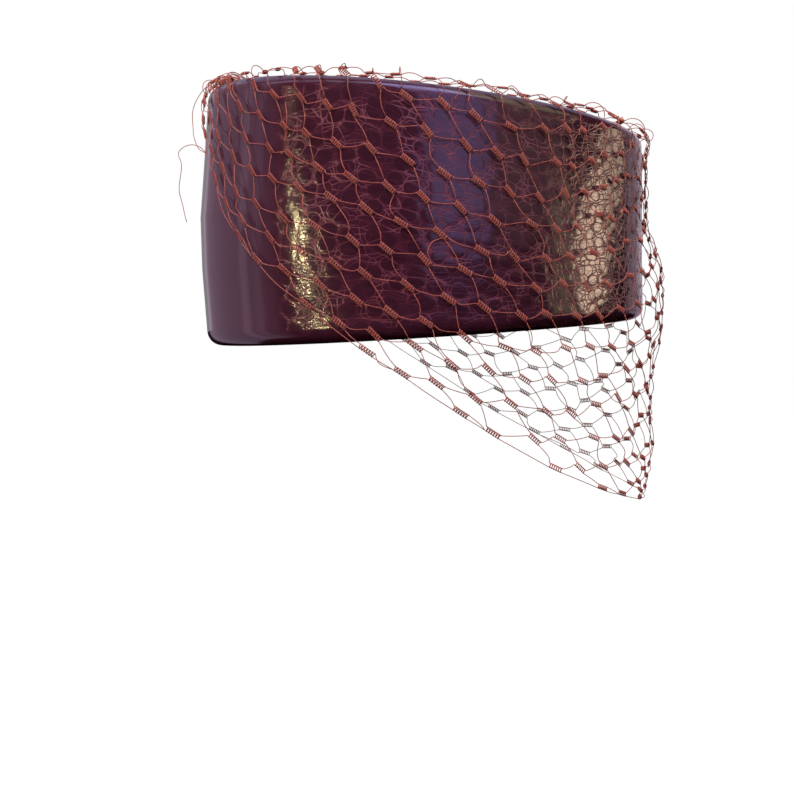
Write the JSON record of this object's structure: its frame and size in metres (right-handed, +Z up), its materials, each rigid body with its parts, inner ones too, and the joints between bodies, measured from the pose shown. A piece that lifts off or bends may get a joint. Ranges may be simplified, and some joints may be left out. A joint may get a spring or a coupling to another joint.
{
  "type": "pillbox hat with a net veil",
  "caption": "Tall pillbox hat in embossed patent leather with a coarse net veil that hangs below the rim in front of the face.",
  "frame": {"origin": "centre of the base rim, in the plane of the rim, where a head goes into the crown", "axes": "+X the wearer's front, +Z up out of the crown, XZ the mirror plane"},
  "size_m": [0.2205, 0.18, 0.2094],
  "materials": {
    "band_leather": "gloss",
    "tip_leather": "gloss",
    "netting": "matt"
  },
  "bodies": {
    "root": {"side_band": "band_leather", "tip": "tip_leather", "veil": "netting"}
  },
  "joints": []
}
